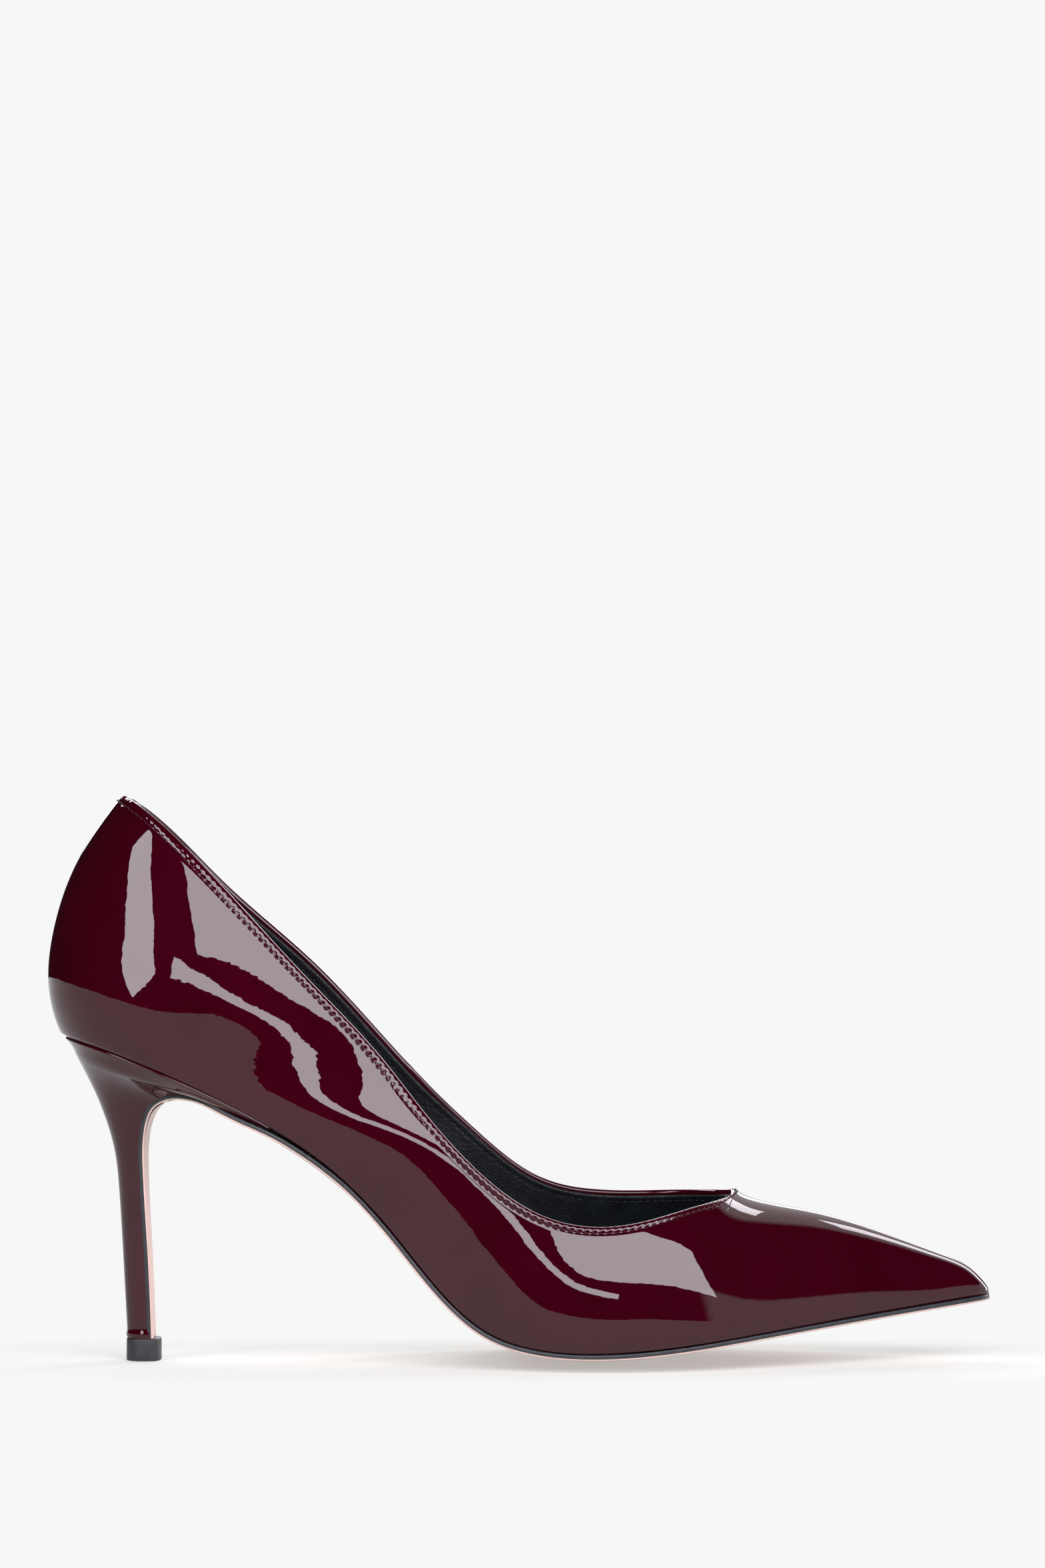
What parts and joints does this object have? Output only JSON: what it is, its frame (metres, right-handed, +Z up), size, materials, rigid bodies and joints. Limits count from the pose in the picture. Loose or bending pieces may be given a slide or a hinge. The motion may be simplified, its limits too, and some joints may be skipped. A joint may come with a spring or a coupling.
{
  "type": "high heel pump",
  "caption": "Pointed-toe stiletto pump: lasted patent upper on a shanked insole, leather outsole with breast flap, slim covered heel with top piece.",
  "frame": {"origin": "on the floor, under the middle of the shoe's bounding box", "axes": "+X towards the toe, +Z up, -Y towards the outer (lateral) side of this right shoe"},
  "size_m": [0.2468, 0.0743, 0.1489],
  "materials": {
    "patent_leather": "high-gloss patent",
    "tape": "woven tape",
    "fibreboard": "pressed cellulose board",
    "textile": "bonded cotton",
    "lining_leather": "fine grain, low sheen",
    "steel": "plain",
    "cork": "granulated cork",
    "foam": "latex foam",
    "sole_leather": "smooth, painted black edge",
    "heel_plastic": "moulded",
    "tip_plastic": "hard polyurethane"
  },
  "bodies": {
    "root": {"upper": "patent_leather", "topline_tape": "tape", "heel_counter": "fibreboard", "interlining": "textile", "toe_puff": "fibreboard", "quarter_lining_lateral": "lining_leather", "quarter_lining_medial": "lining_leather", "vamp_lining": "lining_leather", "heel_grip": "lining_leather", "insole_board": "fibreboard", "tuck_board": "fibreboard", "steel_shank": "steel", "shank_rivets": "steel", "bottom_filler": "cork", "sock_lining": "lining_leather", "forefoot_pad": "foam", "heel_pad": "foam", "outsole": "sole_leather", "heel_core": "heel_plastic", "heel_cover": "patent_leather", "heel_dowel": "steel", "heel_tip": "tip_plastic", "tip_pin": "steel", "heel_screw": "steel", "heel_nails": "steel"}
  },
  "joints": []
}
